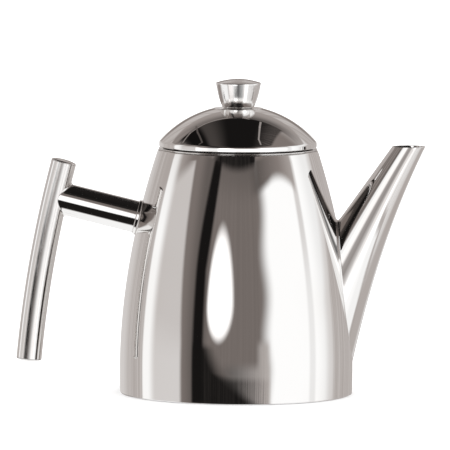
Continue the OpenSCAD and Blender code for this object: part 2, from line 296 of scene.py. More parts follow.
def cut_strainer(obj):
    work = bmesh.new()
    for row in range(STRAINER_ROWS):
        count = 3 + row % 2
        for j in range(count):
            turn = math.radians((j - (count - 1) / 2) * STRAINER_TURN)
            z = (STRAINER_Z + STRAINER_PITCH * row) * MM
            matrix = (Matrix.Rotation(turn, 4, "Z") @ Matrix.Translation((CUTTER_X * MM, 0, z))
                      @ Matrix.Rotation(math.pi / 2, 4, "Y"))
            bmesh.ops.create_cone(work, cap_ends=True, segments=28, radius1=STRAINER_R * MM,
                                  radius2=STRAINER_R * MM, depth=CUTTER_LENGTH * MM,
                                  matrix=matrix)
    mesh = bpy.data.meshes.new("cutters")
    work.to_mesh(mesh)
    work.free()
    cutter = link_new("cutters", mesh)
    holes = obj.modifiers.new("holes", "BOOLEAN")
    holes.operation = "DIFFERENCE"
    holes.solver = "EXACT"
    holes.object = cutter
    mesh = evaluated_mesh(obj)
    obj.modifiers.clear()
    obj.data = mesh
    bpy.data.objects.remove(cutter)
    finish_mesh(mesh, 32)


def make_shell():
    foot_r = float(pot_r(0.0))
    edge_r = MOUTH_R - 0.05
    wall_z = 1.6  # the wall proper starts here
    outer = [(float(pot_r(z)), float(z)) for z in np.arange(wall_z, MOUTH_Z - 2.2, 1.0)]
    inner = [(float(pot_r(z)) - SHEET, float(z)) for z in np.linspace(MOUTH_Z - 3.0, wall_z, 60)]
    # (radius, z, corner radius): foot, wall, then the mouth's turned-in edge and its neck
    profile = [
        (foot_r - SHEET, 0.0, 0.15), (foot_r, 0.0, 0.55), *outer,
        (edge_r, MOUTH_Z, 0.75), (MOUTH_BORE, MOUTH_Z, 0.8),
        (MOUTH_BORE, MOUTH_Z - 4.0, 0.15), (MOUTH_BORE + SHEET, MOUTH_Z - 4.0, 0.15),
        (MOUTH_BORE + SHEET, MOUTH_Z - SHEET, 0.4), (edge_r - 0.9, MOUTH_Z - SHEET, 0.5), *inner]
    obj = revolve("pot_shell", rounded(profile, step=2.5), 512)
    cut_strainer(obj)
    return obj


def make_base():
    r = float(pot_r(0.4)) - SHEET - 0.02
    z = BASE_TOP - 2 * SHEET
    # (radius, z, corner radius): underside from the axis, turned-down edge, top
    profile = [
        (0, z + SHEET), (33.6, z + SHEET, 2.0), (36.4, z, 2.0), (r - SHEET, z, 1.2),
        (r - SHEET, 0.45, 0.2), (r, 0.45, 0.2), (r, z + SHEET, 1.6), (36.9, z + SHEET, 2.0),
        (34.2, z + 2 * SHEET, 2.0), (0, z + 2 * SHEET)]
    return revolve("base_disc", rounded(profile, closed=False, step=2.5), 192)


# ---------------------------------------------------------------- spout

UNDER_X = 54.9                         # x of the underside's line at z = 0
UNDER_SLOPE, UNDER_LIP_SLOPE = 0.2, 0.48  # its dx/dz at z = 0 and at the lip
TOP_X, TOP_SLOPE = -10.9, 0.709        # the straight line of the top side
WIDTH_LOW, WIDTH_LIP = 0.93, 0.87      # width over depth at z = 0 and at the lip
LIP_EDGE = 0.28                        # rounding of the lip's edges


def under_x(z):
    t = z / LIP_Z
    return (UNDER_X * (2 * t**3 - 3 * t * t + 1)
            + UNDER_SLOPE * LIP_Z * (t**3 - 2 * t * t + t)
            + SPOUT_X * (3 * t * t - 2 * t**3)
            + UNDER_LIP_SLOPE * LIP_Z * (t**3 - t * t))


def spout_points(z, angles, inset):
    """Oval section of the spout at height z, moved in by inset."""
    top_x = TOP_X + TOP_SLOPE * z
    centre = (under_x(z) + top_x) / 2
    half = (under_x(z) - top_x) / 2
    half_width = half * (WIDTH_LOW + (WIDTH_LIP - WIDTH_LOW) * z / LIP_Z)
    return np.stack([centre + (half - 1.1 * inset) * np.cos(angles),
                     (half_width - inset) * np.sin(angles), z + 0 * angles], -1)


def make_spout():
    count = 192
    angles = circle_angles(count)

    def meets_pot(inset):
        return bisect(lambda z: pot_gap(spout_points(z, angles, inset)),
                      np.zeros(count), np.full(count, LIP_Z))

    root_z, inner_z = meets_pot(0.0), meets_pot(SHEET)
    joint = spout_points(root_z, angles, 0.0)
    rising = unit(spout_points(root_z + 0.2, angles, 0.0) - joint)
    outward = away(joint, pot_normal(joint))
    reach = fillet_reach(rising, outward, size=1.5, shortest=0.25, longest=3.2, passes=6)
    on_pot = pot_snap(joint + outward * reach[:, None])
    wall_z = root_z + reach * rising[:, 2]
    on_spout = spout_points(wall_z, angles, 0.0)
    rows = [bezier(on_pot, joint, on_spout, t) for t in np.linspace(0, 1, 13)]
    top = LIP_Z - LIP_EDGE
    for t in np.linspace(0, 1, 62)[1:]:
        rows.append(spout_points(wall_z + (top - wall_z) * t, angles, 0.0))
    # over the lip: outer edge, then inner edge
    for start, sign, turns in ((0.0, 1, np.linspace(0, 90, 6)[1:]),
                               (SHEET, -1, np.linspace(90, 0, 6))):
        for t in np.radians(turns):
            inset = start + sign * LIP_EDGE * (1 - math.cos(t))
            rows.append(spout_points(top + LIP_EDGE * math.sin(t), angles, inset))
    for t in np.linspace(1, 0, 40)[1:]:
        rows.append(spout_points(inner_z + (top - inner_z) * t, angles, SHEET))
    return loop_grid("spout_cone", rows)


# ---------------------------------------------------------------- handle

GRIP_R = 12.7 / 2
BEND_R, BEND_X, BEND_Z = 604.7, 498.65, -35.78  # the arc of the grip's centre line
GRIP_LOW_Z, GRIP_HIGH_Z = 16.5, 114.8
ARM_Z = 87.5                    # height at which the arm's axis meets the pot
ARM_RISE = math.radians(13.6)   # the arm rises away from the pot
ARM_TALL, ARM_WIDE = 16.0, 12.2
ARM_POINTS = 128                # points round the arm and its collar
ARM_AXIS = np.array([-math.cos(ARM_RISE), 0.0, math.sin(ARM_RISE)])  # away from the pot
ARM_UP = np.array([math.sin(ARM_RISE), 0.0, math.cos(ARM_RISE)])
SIDEWAYS = np.array([0.0, 1.0, 0.0])
ARM_ROOT = np.array([-float(pot_r(ARM_Z)), 0.0, ARM_Z])


def grip_angle(z):
    return math.asin((z - BEND_Z) / BEND_R)


def grip_centre(angle):
    return np.array([BEND_X - BEND_R * math.cos(angle), 0.0, BEND_Z + BEND_R * math.sin(angle)])


def grip_dist(points):
    """Distance from the grip's centre line."""
    from_bend = np.hypot(points[:, 0] - BEND_X, points[:, 2] - BEND_Z)
    return np.hypot(from_bend - BEND_R, points[:, 1])


def grip_normal(points):
    """Nearest points of the grip's centre line, and the directions from them to points."""
    dx, dz = points[:, 0] - BEND_X, points[:, 2] - BEND_Z
    dist = np.hypot(dx, dz)
    centre = np.stack([BEND_X + dx / dist * BEND_R, 0 * dist, BEND_Z + dz / dist * BEND_R], 1)
    return centre, unit(points - centre)


def make_grip():
    round_angles = circle_angles(96)
    low, high = grip_angle(GRIP_LOW_Z), grip_angle(GRIP_HIGH_Z)
    edge = 0.22
    edge_angle = edge / BEND_R

    def ring(angle, radius):
        out = np.array([-math.cos(angle), 0.0, math.sin(angle)])
        spokes = np.cos(round_angles)[:, None] * out + np.sin(round_angles)[:, None] * SIDEWAYS
        return grip_centre(angle) + radius * spokes

    def end_rings(angle, step, turns):
        """Quarter arc between the wall's outside at the end and a ring just within."""
        return [ring(angle + step * (1 - math.cos(t)), GRIP_R - edge * math.sin(t))
                for t in np.radians(turns)]

    rows = end_rings(low, edge_angle, np.linspace(90, 0, 5))
    rows += [ring(t, GRIP_R) for t in np.linspace(low + edge_angle, high - edge_angle, 150)[1:-1]]
    rows += end_rings(high, -edge_angle, np.linspace(0, 90, 5))
    rows += [ring(t, GRIP_R - 1.0) for t in np.linspace(high, low, 40)]
    return loop_grid("grip_bar", rows)


def make_cap(name, z, flip):
    """A plug in the end of the grip, with a low domed face."""
    r = GRIP_R
    # (radius, z from the grip's end, corner radius)
    profile = [(0, -5), (r - 1.6, -5, 0.3), (r - 1.05, -4.4, 0.3), (r - 1.05, 0.0),
               (r - 0.35, 0.0, 0.05), (r - 0.02, 0.28, 0.12)]
    profile += [(r * math.cos(t), 0.25 + 1.25 * math.sin(t)) for t in np.radians(range(20, 90, 5))]
    profile += [(0, 1.5)]
    obj = revolve(name, rounded(profile, closed=False, step=2.0), 96)
    angle = grip_angle(z)
    tilt = Matrix.Rotation(angle + (math.pi if flip else 0.0), 4, "Y")
    obj.data.transform(Matrix.Translation(Vector(grip_centre(angle)) * MM) @ tilt)
    obj.data.update()
    return obj


def arm_oval(grow=0.0):
    """The arm's section as (up, sideways) points, moved outward by grow."""
    t = (np.arange(ARM_POINTS) + 0.5) * 2 * math.pi / ARM_POINTS
    points = np.stack([ARM_TALL / 2 * np.cos(t), ARM_WIDE / 2 * np.sin(t)], 1)
    return points + unit(np.stack([np.cos(t) / ARM_TALL, np.sin(t) / ARM_WIDE], 1)) * grow


def on_arm(section, dist):
    """Points of a section, dist along the arm from its root."""
    dist = np.asarray(dist, float)
    along = (dist[:, None] if dist.ndim else dist) * ARM_AXIS
    return ARM_ROOT + section[:, :1] * ARM_UP + section[:, 1:] * SIDEWAYS + along


def arm_meets_pot(section):
    return bisect(lambda dist: pot_gap(on_arm(section, dist)),
                  np.full(ARM_POINTS, -10.0), np.full(ARM_POINTS, 12.0))


def arm_meets_grip(section):
    return bisect(lambda dist: GRIP_R - grip_dist(on_arm(section, dist)),
                  np.full(ARM_POINTS, 25.0), np.full(ARM_POINTS, 43.0))


def make_arm():
    outer, inner = arm_oval(), arm_oval(-SHEET)
    grip_end, pot_end = arm_meets_grip(outer), arm_meets_pot(outer) + 0.01
    inner_grip, inner_pot = arm_meets_grip(inner), arm_meets_pot(inner) + 0.01
    joint = on_arm(outer, grip_end)
    outward = away(joint, grip_normal(joint)[1])
    reach = fillet_reach(-ARM_AXIS, outward, size=1.6, shortest=0.15, longest=2.4, passes=8)
    centre, normal = grip_normal(joint + outward * reach[:, None])
    on_grip = centre + normal * (GRIP_R - SINK)
    start = grip_end - reach
    rows = [bezier(on_grip, joint, on_arm(outer, start), t) for t in np.linspace(0, 1, 13)]
    for t in np.linspace(0, 1, 36)[1:]:
        rows.append(on_arm(outer, start + (pot_end - start) * t))
    for t in np.linspace(1, 0, 20):
        rows.append(on_arm(inner, inner_grip + (inner_pot - inner_grip) * t))
    return loop_grid("arm_bar", rows)


def make_collar():
    """The low collar round the arm where it meets the pot."""
    width, top = 0.65, 1.3
    gap, fillet, edge = 0.02, 0.3, 0.25
    rows = []
    # fillet from the arm down to the collar's face
    for t in np.linspace(0, 1, 7):
        rows.append(on_arm(arm_oval(gap + fillet * t * t), top + fillet * (1 - t) ** 2))
    for t in np.radians(np.linspace(0, 90, 6)):
        section = arm_oval(width - edge + edge * math.sin(t))
        rows.append(on_arm(section, top - edge + edge * math.cos(t)))
    outer = arm_oval(width)
    pot_end = arm_meets_pot(outer)
    joint = on_arm(outer, pot_end)
    on_pot = pot_snap(joint + away(joint, pot_normal(joint)) * 0.7)
    on_side = on_arm(outer, pot_end + 0.6)
    rows += [bezier(on_pot, joint, on_side, t) for t in np.linspace(1, 0, 8)]
    inner = arm_oval(gap)
    rows.append(on_arm(inner, arm_meets_pot(inner) + 0.005))
    return loop_grid("arm_collar", rows)


# ---------------------------------------------------------------- infuser basket


def make_rim():
    r = 35.5
    flange_r = MOUTH_R - 0.35  # the flange comes out to the mouth's outside edge
    # (radius, z, corner radius): sleeve, then the flange on its top
    profile = [(r - 0.6, RIM_Z, 0.2), (r, RIM_Z, 0.2), (r, RIM_TOP - 0.8, 0.35),
               (flange_r, RIM_TOP - 0.8, 0.38), (flange_r, RIM_TOP, 0.38), (r - 0.6, RIM_TOP, 0.75)]
    return revolve("basket_rim", rounded(profile, step=1.5), 384)


def make_screen():
    """Perforated sleeve: every cell of the staggered pattern is eight quads round a hole,
    inside and outside."""
    columns, row_count = 84, 24
    pitch = 2 * math.pi / columns
    holes_z, holes_top = SCREEN_Z + 8.4, SCREEN_TOP - 9.0
    row_pitch = (holes_top - holes_z) / row_count
    hole_r = 0.72
    inner_r = SCREEN_R - 0.4
    cell = [(-1, -1), (0, -1), (1, -1), (1, 0), (1, 1), (0, 1), (-1, 1), (-1, 0)]
    hole_angles = [math.radians(-135 + 45 * k) for k in range(8)]
    work = bmesh.new()
    shared = {}

    def new_vert(r, angle, z):
        return work.verts.new((r * math.cos(angle) * MM, r * math.sin(angle) * MM, z * MM))

    def vert(r, angle, z):
        """The vertex at a place, shared by all the faces that meet there."""
        key = (round(r, 4), round((angle % (2 * math.pi)) * 1e4) % 62832, round(z * 1e3))
        if key not in shared:
            shared[key] = new_vert(r, angle, z)
        return shared[key]

    def quad(r, start, end, low, high):
        work.faces.new((vert(r, start, low), vert(r, end, low),
                        vert(r, end, high), vert(r, start, high)))

    for row in range(row_count):
        shift = pitch / 2 if row % 2 else 0.0
        z = holes_z + (row + 0.5) * row_pitch
        for column in range(columns):
            centre = column * pitch + shift
            ring, hole = [], []
            for r in (SCREEN_R, inner_r):
                ring.append([vert(r, centre + u * pitch / 2, z + v * row_pitch / 2)
                             for u, v in cell])
                hole.append([new_vert(r, centre + hole_r * math.cos(t) / SCREEN_R,
                                      z + hole_r * math.sin(t)) for t in hole_angles])
            for k in range(8):
                l = (k + 1) % 8
                work.faces.new((ring[0][k], ring[0][l], hole[0][l], hole[0][k]))
                work.faces.new((ring[1][l], ring[1][k], hole[1][k], hole[1][l]))
                work.faces.new((hole[0][k], hole[0][l], hole[1][l], hole[1][k]))
    # plain bands below and above, on the same half-pitch columns: (low, high, open end, order)
    half = pitch / 2
    for low, high, end_z, order in ((SCREEN_Z, holes_z, SCREEN_Z, 1),
                                    (holes_top, SCREEN_TOP, SCREEN_TOP, -1)):
        steps = np.linspace(low, high, 5)
        for i in range(4):
            for j in range(columns * 2):
                quad(SCREEN_R, j * half, (j + 1) * half, steps[i], steps[i + 1])
                quad(inner_r, (j + 1) * half, j * half, steps[i], steps[i + 1])
        for j in range(columns * 2):
            start, end = j * half, (j + 1) * half
            edge = (vert(inner_r, start, end_z), vert(inner_r, end, end_z),
                    vert(SCREEN_R, end, end_z), vert(SCREEN_R, start, end_z))
            work.faces.new(edge[::order])
    bmesh.ops.recalc_face_normals(work, faces=work.faces)
    mesh = bpy.data.meshes.new("basket_screen")
    work.to_mesh(mesh)
    work.free()
    finish_mesh(mesh, 35)
    return link_new("basket_screen", mesh)


FLOOR_DISC_R = 33.0
FLOOR_SHEET = 0.6


def make_floor_disc():
    """Perforated floor: a filled outline with staggered holes."""
    curve = bpy.data.curves.new("floor_outline", "CURVE")
    curve.dimensions = "2D"
    curve.fill_mode = "BOTH"
    curve.extrude = 0.3 * MM  # half of FLOOR_SHEET

    def circle(x, y, radius, count):
        spline = curve.splines.new("POLY")
        spline.points.add(count - 1)
        for i in range(count):
            t = 2 * math.pi * i / count
            spline.points[i].co = ((x + radius * math.cos(t)) * MM,
                                   (y + radius * math.sin(t)) * MM, 0, 1)
        spline.use_cyclic_u = True

    circle(0, 0, FLOOR_DISC_R, 192)
    pitch, hole_r, holes_within = 2.9, 0.75, 29.6
    for j in range(-11, 12):
        for i in range(-12, 13):
            x = (i + (0.5 if j % 2 else 0.0)) * pitch
            y = j * pitch * math.sqrt(3) / 2
            if math.hypot(x, y) < holes_within:
                circle(x, y, hole_r, 10)
    outline = link_new("floor_outline", curve)
    mesh = evaluated_mesh(outline)
    bpy.data.objects.remove(outline)
    work = bmesh.new()
    work.from_mesh(mesh)
    bmesh.ops.translate(work, verts=work.verts, vec=(0, 0, (FLOOR_Z + 0.3) * MM))
    bmesh.ops.remove_doubles(work, verts=work.verts, dist=2e-6)
    bmesh.ops.recalc_face_normals(work, faces=work.faces)
    work.to_mesh(mesh)
    work.free()
    finish_mesh(mesh, 35)
    return link_new("basket_floor", mesh)


def make_floor_edge():
    """The turned-up edge round the floor, outside the screen."""
    start_r = FLOOR_DISC_R - 0.25
    inner_r = SCREEN_R + 0.012
    # (radius, z, corner radius)
    profile = [(start_r, FLOOR_Z), (FLOOR_R, FLOOR_Z, 1.3), (FLOOR_R, FLOOR_TOP, 0.2),
               (inner_r, FLOOR_TOP, 0.2), (inner_r, FLOOR_Z + FLOOR_SHEET, 0.6),
               (start_r, FLOOR_Z + FLOOR_SHEET)]
    return revolve("basket_floor_edge", rounded(profile, step=1.5), 192)


# ---------------------------------------------------------------- lid

DOME_R = 51.8
LID_BORE = 35.6
EDGE_R = 2.0                # the rounding between the lid's side and its dome
EDGE_Z = LID_Z + 1.81       # height of that rounding's centre
DOME_Z = EDGE_Z - math.sqrt((DOME_R - EDGE_R) ** 2 - (LID_R - EDGE_R) ** 2)
CROWN_R = 12.3              # the flat on top, under the knob
CROWN_BORE = 2.2


def make_lid():
    edge_end = math.atan2(EDGE_Z - DOME_Z, LID_R - EDGE_R)
    crown = math.acos(CROWN_R / DOME_R)
    inner_r = DOME_R - SHEET
    inner_crown = math.acos((CROWN_R - 0.5) / inner_r)
    # (radius, z, corner radius): up the outside, over the crown, down the inside
    profile = [(LID_BORE, LID_Z, 0.1), (LID_R, LID_Z, 0.5), (LID_R, EDGE_Z - 0.06)]
    profile += arc(LID_R - EDGE_R, EDGE_Z, EDGE_R, np.linspace(0, edge_end, 12)[:-1])
    profile += arc(0, DOME_Z, DOME_R, np.linspace(edge_end, crown, 70)[:-1])
    profile += [(CROWN_R, DOME_Z + DOME_R * math.sin(crown), 0.12), (CROWN_R - 0.1, CROWN_Z, 0.12),
                (CROWN_BORE, CROWN_Z), (CROWN_BORE, CROWN_Z - SHEET),
                (CROWN_R - 1.1, CROWN_Z - SHEET, 0.3)]
    profile += arc(0, DOME_Z, inner_r, np.linspace(inner_crown, edge_end, 50))
    profile += arc(LID_R - EDGE_R, EDGE_Z, EDGE_R - SHEET, np.linspace(edge_end, 0, 8)[1:])
    profile += [(LID_R - SHEET, LID_Z + SHEET, 0.3), (LID_BORE, LID_Z + SHEET, 0.1)]
    return revolve("lid_cover", rounded(profile, step=2.0), 384, 30)


def make_skirt():
    r = SCREEN_R + 0.01 - 0.4
    flange_r = SKIRT_R - 0.6
    # (radius, z, corner radius): sleeve, then the flange on its top
    profile = [(r - 0.6, SKIRT_Z, 0.15), (r, SKIRT_Z, 0.15), (r, SKIRT_TOP - 0.5, 0.2),
               (flange_r, SKIRT_TOP - 0.5, 0.15), (flange_r, SKIRT_TOP), (r - 0.6, SKIRT_TOP, 0.6)]
    return revolve("lid_ring", rounded(profile, step=1.5), 384)


def make_knob():
    side = 12.3  # height of the flared side
    foot_r, top_r = 6.9, 11.25
    edge = 0.42
    side_z = KNOB_Z + side
    profile = [(0, KNOB_Z), (5.8, KNOB_Z), (foot_r, KNOB_Z + 0.02, 0.12)]
    for i in range(1, 40):
        t = (i / 39.0) ** 1.6
        profile.append((foot_r + (top_r - foot_r) * t**0.51, KNOB_Z + side * t * 0.985))
    profile += arc(top_r - edge, side_z, edge, np.radians(range(10, 80, 10)))
    face_r, face_z = top_r - 0.45, side_z + 0.43  # rim of the low domed face
    profile += [(face_r * t, face_z + (KNOB_TOP - face_z) * (1 - t * t))
                for t in np.linspace(0.97, 0.03, 26)]
    profile += [(0, KNOB_TOP)]
    return revolve("lid_knob", rounded(profile, closed=False, step=1.5), 144, 30)


# ---------------------------------------------------------------- shader nodes

SOCKET = bpy.types.NodeSocket


class Nodes:
    """Makes nodes in a tree. Every value given may be a number or another node's output."""

    def __init__(self, tree):
        self.tree = tree

    def new(self, kind, **settings):
        node = self.tree.nodes.new(kind)
        for key, value in settings.items():
            setattr(node, key, value)
        return node

    def put(self, socket, value):
        if isinstance(value, SOCKET):
            self.tree.links.new(value, socket)
        else:
            socket.default_value = value

    def math(self, operation, a, b=0.0, clamp=False):
        node = self.new("ShaderNodeMath", operation=operation, use_clamp=clamp)
        for socket, value in zip(node.inputs, (a, b, 0.0)):
            self.put(socket, value)
        return node.outputs[0]

    def add(self, a, b):
        return self.math("ADD", a, b)

    def sub(self, a, b):
        return self.math("SUBTRACT", a, b)

    def mul(self, a, b):
        return self.math("MULTIPLY", a, b)

    def div(self, a, b):
        return self.math("DIVIDE", a, b)

    def power(self, a, b):
        return self.math("POWER", a, b)

    def larger(self, a, b):
        return self.math("MAXIMUM", a, b)

    def degrees(self, a):
        return self.mul(a, 180 / math.pi)

    def ramp(self, value, low, high, to=(0.0, 1.0), kind="SMOOTHSTEP"):
        """Takes low..high to the two values of to."""
        node = self.new("ShaderNodeMapRange", interpolation_type=kind)
        node.clamp = True
        for key, item in (("Value", value), ("From Min", low), ("From Max", high),
                          ("To Min", to[0]), ("To Max", to[1])):
            self.put(node.inputs[key], item)
        return node.outputs["Result"]

    def mix(self, factor, a, b):
        node = self.new("ShaderNodeMix", data_type="RGBA", clamp_factor=True)
        for i, value in ((0, factor), (6, a), (7, b)):
            self.put(node.inputs[i], value)
        return node.outputs[2]

    def noise(self, vector, scale, detail, rough):
        node = self.new("ShaderNodeTexNoise")
        for key, value in (("Vector", vector), ("Scale", scale), ("Detail", detail),
                           ("Roughness", rough)):
            self.put(node.inputs[key], value)
        return node.outputs["Fac"]

    def curve(self, value, points):
        """A piecewise linear function through points, (value, result)."""
        low, high = points[0][0], points[-1][0]
        node = self.new("ShaderNodeValToRGB")
        elements = node.color_ramp.elements
        while len(elements) < len(points):
            elements.new(0.5)
        for element, (at, _) in zip(elements, points):
            element.position = (at - low) / (high - low)
        for element, (_, level) in zip(elements, points):
            element.color = (level, level, level, 1.0)
        self.put(node.inputs["Fac"], self.ramp(value, low, high, kind="LINEAR"))
        return node.outputs["Color"]

    def combine(self, x, y, z):
        node = self.new("ShaderNodeCombineXYZ")
        for socket, value in zip(node.inputs, (x, y, z)):
            self.put(socket, value)
        return node.outputs[0]

    def split(self, vector):
        node = self.new("ShaderNodeSeparateXYZ")
        self.put(node.inputs[0], vector)
        return node.outputs

    def bump(self, height, strength, distance):
        node = self.new("ShaderNodeBump")
        node.inputs["Strength"].default_value = strength
        node.inputs["Distance"].default_value = distance
        self.put(node.inputs["Height"], height)
        return node


# ---------------------------------------------------------------- steel


def grain_lines(net, coords, grain, seed, axis):
    """Polishing lines: "vertical" up the wall, "spun" round Z, or "along" a given axis."""
    if grain == "along":
        mapping = net.new("ShaderNodeMapping")
        net.put(mapping.inputs["Vector"], coords)
        turn = Vector(axis).normalized().rotation_difference(Vector((0, 0, 1)))
        mapping.inputs["Rotation"].default_value = turn.to_euler()
        mapping.inputs["Scale"].default_value = (60.0, 60.0, 2.2)
        return net.noise(mapping.outputs[0], scale=42.0, detail=3.0, rough=0.6)
    x, y, z = net.split(coords)
    around = net.math("ARCTAN2", y, x)
    if grain == "vertical":
        vector = net.combine(net.mul(around, 2.4), net.mul(z, 0.9), seed)
        return net.noise(vector, scale=150.0, detail=3.0, rough=0.6)
    radius = net.math("SQRT", net.add(net.mul(x, x), net.mul(y, y)))
    vector = net.combine(net.mul(radius, 60.0), net.mul(z, 60.0),
                         net.add(net.mul(around, 0.25), seed))
    return net.noise(vector, scale=46.0, detail=3.0, rough=0.6)


def steel_tint(net, colour, cloud, lines, crevice):
    """Base colour: soft clouding, darker lines, and shade deep in gaps up to crevice metres."""
    def scaled(*parts):
        return tuple(c * part for c, part in zip(colour, parts)) + (1.0,)

    tint = net.mix(net.ramp(cloud, 0.35, 0.7), scaled(1, 1, 1), scaled(0.965, 0.955, 0.945))
    tint = net.mix(net.ramp(lines, 0.55, 0.9, to=(0.0, 0.25)), tint, scaled(0.9, 0.89, 0.88))
    if crevice:
        gaps = net.new("ShaderNodeAmbientOcclusion", samples=8, only_local=False)
        gaps.inputs["Distance"].default_value = crevice
        tint = net.mix(net.ramp(gaps.outputs["AO"], 0.5, 0.9), (0.02, 0.019, 0.018, 1.0), tint)
    return tint


def steel(name, grain, rough, spread, seed, wave, line=2e-6, colour=(0.9, 0.893, 0.886),
          axis=(0, 0, 1), aniso=0.35, tangent=None, crevice=0.0):
    """Polished stainless sheet. rough and spread are the roughness and how far it varies, wave
    and line the depths of the soft waves and of the polishing lines, in metres. seed moves the
    patterns. tangent is a direction, or "profile" for a lathe-turned piece."""
    material = bpy.data.materials.new(name)
    material.use_nodes = True
    tree = material.node_tree
    tree.nodes.clear()
    net = Nodes(tree)
    output = net.new("ShaderNodeOutputMaterial")
    shader = net.new("ShaderNodeBsdfPrincipled")
    net.put(output.inputs["Surface"], shader.outputs[0])
    coords = net.new("ShaderNodeTexCoord").outputs["Object"]
    lines = grain_lines(net, coords, grain, seed, axis)
    shifted = net.new("ShaderNodeVectorMath", operation="ADD")
    net.put(shifted.inputs[0], coords)
    shifted.inputs[1].default_value = (seed * 3.1, seed * 1.7, seed)
    place = shifted.outputs[0]
    smudge = net.noise(place, scale=38.0, detail=4.0, rough=0.62)
    cloud = net.noise(place, scale=14.0, detail=2.0, rough=0.5)
    # roughness: a polished base with faint fingerprints, and finer lines
    base = net.ramp(smudge, 0.45, 0.72, to=(rough, rough + spread))
    streak = net.ramp(lines, 0.35, 0.8, to=(0.0, spread * 0.8))
    net.put(shader.inputs["Roughness"], net.math("ADD", base, streak, clamp=True))
    net.put(shader.inputs["Base Color"], steel_tint(net, colour, cloud, lines, crevice))
    shader.inputs["Metallic"].default_value = 1.0
    shader.inputs["Anisotropic"].default_value = aniso
    if tangent == "profile":  # light spreads up and down the profile
        radial = net.new("ShaderNodeTangent", direction_type="RADIAL", axis="Z")
        net.put(shader.inputs["Tangent"], radial.outputs[0])
        shader.inputs["Anisotropic Rotation"].default_value = 0.25
    elif tangent is not None:
        net.put(shader.inputs["Tangent"], net.combine(*[float(c) for c in tangent]))
    # relief: long soft waves from drawing, then the finest lines
    waves = net.bump(net.noise(place, scale=26.0, detail=1.0, rough=0.4), 1.0, wave)
    relief = net.bump(lines, 0.5, line)
    net.put(relief.inputs["Normal"], waves.outputs[0])
    net.put(shader.inputs["Normal"], relief.outputs[0])
    return material


GRIP_AXIS = (0.17, 0, 0.985)

M_SHELL = steel("steel_shell", "vertical", rough=0.012, spread=0.03, seed=0.1, wave=2e-5)
M_SPOUT = steel("steel_spout", "along", rough=0.02, spread=0.05, seed=2.3, wave=3e-5,
                line=4e-6, axis=(0.5, 0, 0.87))
M_LID = steel("steel_lid", "spun", rough=0.012, spread=0.025, seed=4.2, wave=2e-5)
M_KNOB = steel("steel_knob", "spun", rough=0.12, spread=0.05, seed=6.4, wave=1e-5,
               aniso=0.8, tangent="profile")
M_ARM = steel("steel_arm", "along", rough=0.05, spread=0.04, seed=7.7, wave=2e-5, line=4e-6,
              axis=(0.97, 0, -0.235), aniso=0.8, tangent=ARM_AXIS.tolist())
M_GRIP = steel("steel_grip", "along", rough=0.09, spread=0.08, seed=9.1, wave=4e-5, line=3e-6,
               axis=GRIP_AXIS, aniso=0.4, tangent=GRIP_AXIS)
M_CAP = steel("steel_cap", "along", rough=0.16, spread=0.08, seed=11.9, wave=1e-5,
              axis=(0, 1, 0.1))
M_COLLAR = steel("steel_collar", "along", rough=0.06, spread=0.06, seed=12.4, wave=3e-5,
                 axis=(0, 1, 0))
# the darker colour here is painted shade, set so the shadow gap under the lid reads dark; crevice
# paints more shade into narrow gaps
M_INNER = steel("steel_sheet", "spun", rough=0.24, spread=0.10, seed=14.8, wave=3e-5, line=1e-5,
                colour=(0.66, 0.65, 0.64), crevice=0.004)
M_RIM = steel("steel_rim", "spun", rough=0.04, spread=0.06, seed=16.0, wave=1e-5, line=3e-6,
              colour=(0.86, 0.85, 0.84))
M_SCREEN = steel("steel_screen", "vertical", rough=0.16, spread=0.10, seed=17.5, wave=5e-5,
                 line=1e-5, colour=(0.8, 0.79, 0.78))
M_SCREW = steel("steel_screw", "spun", rough=0.18, spread=0.12, seed=19.2, wave=1e-5, line=1e-5,
                colour=(0.7, 0.7, 0.7))

# ---------------------------------------------------------------- pieces


def give(obj, material):
    obj.data.materials.clear()
    obj.data.materials.append(material)


def piece(obj, material, body, slot, *nodes):
    """Gives a piece its material and the body it moves with, and hides the CAD it replaces; slot is
    not used.
    """
    give(obj, material)
    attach(obj, body)
    if nodes:
        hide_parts(*nodes)


piece(make_shell(), M_SHELL, "pot", "polished_shell", "body_shell")
piece(make_base(), M_INNER, "pot", "pressed_sheet", "base_plate")
piece(make_spout(), M_SPOUT, "pot", "polished_shell", "spout")
piece(make_grip(), M_GRIP, "pot", "polished_fittings", "grip_tube")
piece(make_cap("grip_cap_top", GRIP_HIGH_Z, flip=False), M_CAP, "pot", "polished_fittings",
      "grip_top_cap")
piece(make_cap("grip_cap_bottom", GRIP_LOW_Z, flip=True), M_CAP, "pot", "polished_fittings",
      "grip_bottom_cap")
piece(make_arm(), M_ARM, "pot", "polished_fittings", "handle_arm")
piece(make_collar(), M_COLLAR, "pot", "polished_fittings", "handle_collar")
piece(make_rim(), M_RIM, "infuser", "infuser_sheet", "infuser_rim")
piece(make_screen(), M_SCREEN, "infuser", "infuser_sheet", "infuser_screen")
piece(make_floor_disc(), M_SCREEN, "infuser", "infuser_sheet", "infuser_floor")
piece(make_floor_edge(), M_SCREEN, "infuser", "infuser_sheet")
piece(make_lid(), M_LID, "lid", "polished_shell", "lid_dome")
piece(make_skirt(), M_INNER, "lid", "pressed_sheet", "lid_skirt")
piece(make_knob(), M_KNOB, "lid", "polished_fittings", "knob")
for part in ("knob_washer", "knob_screw"):
    fitting = frame["nodes"][part]
    if not fitting.material_slots:
        fitting.data.materials.append(M_SCREW)
    for slot in fitting.material_slots:
        slot.material = M_SCREW

# ---------------------------------------------------------------- studio world
# A plain photo studio for the steel to reflect, painted area over area. The camera itself sees
# a plain pale backdrop. Greys are 0 to 255.

GAIN = 1.12  # brightness of the whole studio

